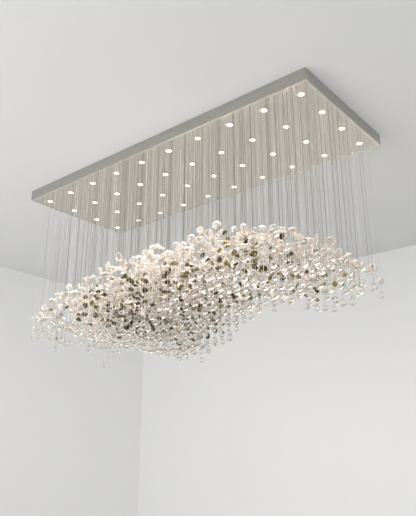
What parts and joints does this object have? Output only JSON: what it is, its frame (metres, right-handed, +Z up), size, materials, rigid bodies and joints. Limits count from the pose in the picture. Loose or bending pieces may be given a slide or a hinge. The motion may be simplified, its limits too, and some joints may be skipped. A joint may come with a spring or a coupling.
{
  "type": "crystal chandelier",
  "caption": "Long rectangular ceiling chandelier: a mirror-bottomed steel canopy with recessed spots and a wave of clear and smoked glass petals and drops hung on thin wires.",
  "frame": {"origin": "on the ceiling, at the middle of the canopy's plan, on the top face of the centre ceiling bracket", "axes": "+Z up, +X along the canopy's length towards its right end, +Y across it towards its back"},
  "size_m": [2.4, 0.9, 1.3186],
  "materials": {
    "mirror_stainless": "polished stainless steel, mirror bright",
    "satin_stainless": "brushed stainless steel, satin grain along the length",
    "satin_bezel": "satin nickel rim",
    "wire_steel": "bright stainless wire rope",
    "clear_crystal": "clear hand-formed glass with bright rims",
    "smoked_crystal": "smoked olive glass with a metallic lustre",
    "lens_glass": "frosted lens",
    "black_aluminium": "black anodised",
    "board_white": "white solder mask",
    "led_phosphor": "yellow phosphor",
    "driver_case": "white moulded case",
    "terminal_plastic": "natural moulded plastic",
    "earth_brass": "turned brass",
    "lead_sheath": "black flexible sheath",
    "zinc_steel": "zinc-plated steel"
  },
  "bodies": {
    "canopy": {"ceiling_bracket_left": "zinc_steel", "ceiling_bracket_centre": "zinc_steel", "ceiling_bracket_right": "zinc_steel", "support_rail_front": "zinc_steel", "support_rail_back": "zinc_steel", "rail_nuts": "zinc_steel", "plate_studs": "zinc_steel", "plate_nuts": "zinc_steel", "mirror_plate": "mirror_stainless", "side_panel_front": "satin_stainless", "side_panel_back": "satin_stainless", "end_panel_left": "satin_stainless", "end_panel_right": "satin_stainless", "ledge_screws": "zinc_steel", "spot_bezels": "satin_bezel", "spot_lenses": "lens_glass", "spot_retaining_rings": "black_aluminium", "spot_heat_sinks": "black_aluminium", "led_boards": "board_white", "led_chips": "led_phosphor", "lamp_leads": "lead_sheath", "mains_leads": "lead_sheath", "led_drivers": "driver_case", "terminal_block": "terminal_plastic", "cord_clamp": "terminal_plastic", "earth_stud": "earth_brass"},
    "row_01": {"row_01_wires": "wire_steel", "row_01_clear_crystals": "clear_crystal", "row_01_smoked_crystals": "smoked_crystal"},
    "row_02": {"row_02_wires": "wire_steel", "row_02_clear_crystals": "clear_crystal", "row_02_smoked_crystals": "smoked_crystal"},
    "row_03": {"row_03_wires": "wire_steel", "row_03_clear_crystals": "clear_crystal", "row_03_smoked_crystals": "smoked_crystal"},
    "row_04": {"row_04_wires": "wire_steel", "row_04_clear_crystals": "clear_crystal", "row_04_smoked_crystals": "smoked_crystal"},
    "row_05": {"row_05_wires": "wire_steel", "row_05_clear_crystals": "clear_crystal", "row_05_smoked_crystals": "smoked_crystal"},
    "row_06": {"row_06_wires": "wire_steel", "row_06_clear_crystals": "clear_crystal", "row_06_smoked_crystals": "smoked_crystal"},
    "row_07": {"row_07_wires": "wire_steel", "row_07_clear_crystals": "clear_crystal", "row_07_smoked_crystals": "smoked_crystal"},
    "row_08": {"row_08_wires": "wire_steel", "row_08_clear_crystals": "clear_crystal", "row_08_smoked_crystals": "smoked_crystal"},
    "row_09": {"row_09_wires": "wire_steel", "row_09_clear_crystals": "clear_crystal", "row_09_smoked_crystals": "smoked_crystal"},
    "row_10": {"row_10_wires": "wire_steel", "row_10_clear_crystals": "clear_crystal", "row_10_smoked_crystals": "smoked_crystal"},
    "row_11": {"row_11_wires": "wire_steel", "row_11_clear_crystals": "clear_crystal", "row_11_smoked_crystals": "smoked_crystal"}
  },
  "joints": [
    {"name": "row_01_sway", "type": "hinge", "parent": "canopy", "child": "row_01", "pos_m": [0, -0.3835, -0.06969], "axis": [1, 0, 0], "range_deg": [-2, 2]},
    {"name": "row_02_sway", "type": "hinge", "parent": "canopy", "child": "row_02", "pos_m": [0, -0.3068, -0.06969], "axis": [1, 0, 0], "range_deg": [-2, 2]},
    {"name": "row_03_sway", "type": "hinge", "parent": "canopy", "child": "row_03", "pos_m": [0, -0.2301, -0.06969], "axis": [1, 0, 0], "range_deg": [-2, 2]},
    {"name": "row_04_sway", "type": "hinge", "parent": "canopy", "child": "row_04", "pos_m": [0, -0.1534, -0.06969], "axis": [1, 0, 0], "range_deg": [-2, 2]},
    {"name": "row_05_sway", "type": "hinge", "parent": "canopy", "child": "row_05", "pos_m": [0, -0.0767, -0.06969], "axis": [1, 0, 0], "range_deg": [-2, 2]},
    {"name": "row_06_sway", "type": "hinge", "parent": "canopy", "child": "row_06", "pos_m": [0, 0, -0.06969], "axis": [1, 0, 0], "range_deg": [-2, 2]},
    {"name": "row_07_sway", "type": "hinge", "parent": "canopy", "child": "row_07", "pos_m": [0, 0.0767, -0.06969], "axis": [1, 0, 0], "range_deg": [-2, 2]},
    {"name": "row_08_sway", "type": "hinge", "parent": "canopy", "child": "row_08", "pos_m": [0, 0.1534, -0.06969], "axis": [1, 0, 0], "range_deg": [-2, 2]},
    {"name": "row_09_sway", "type": "hinge", "parent": "canopy", "child": "row_09", "pos_m": [0, 0.2301, -0.06969], "axis": [1, 0, 0], "range_deg": [-2, 2]},
    {"name": "row_10_sway", "type": "hinge", "parent": "canopy", "child": "row_10", "pos_m": [0, 0.3068, -0.06969], "axis": [1, 0, 0], "range_deg": [-2, 2]},
    {"name": "row_11_sway", "type": "hinge", "parent": "canopy", "child": "row_11", "pos_m": [0, 0.3835, -0.06969], "axis": [1, 0, 0], "range_deg": [-2, 2]}
  ],
  "couplings": [
    {"joint": "row_01_sway", "follows": "row_06_sway", "ratio": 1},
    {"joint": "row_02_sway", "follows": "row_06_sway", "ratio": 1},
    {"joint": "row_03_sway", "follows": "row_06_sway", "ratio": 1},
    {"joint": "row_04_sway", "follows": "row_06_sway", "ratio": 1},
    {"joint": "row_05_sway", "follows": "row_06_sway", "ratio": 1},
    {"joint": "row_07_sway", "follows": "row_06_sway", "ratio": 1},
    {"joint": "row_08_sway", "follows": "row_06_sway", "ratio": 1},
    {"joint": "row_09_sway", "follows": "row_06_sway", "ratio": 1},
    {"joint": "row_10_sway", "follows": "row_06_sway", "ratio": 1},
    {"joint": "row_11_sway", "follows": "row_06_sway", "ratio": 1}
  ]
}
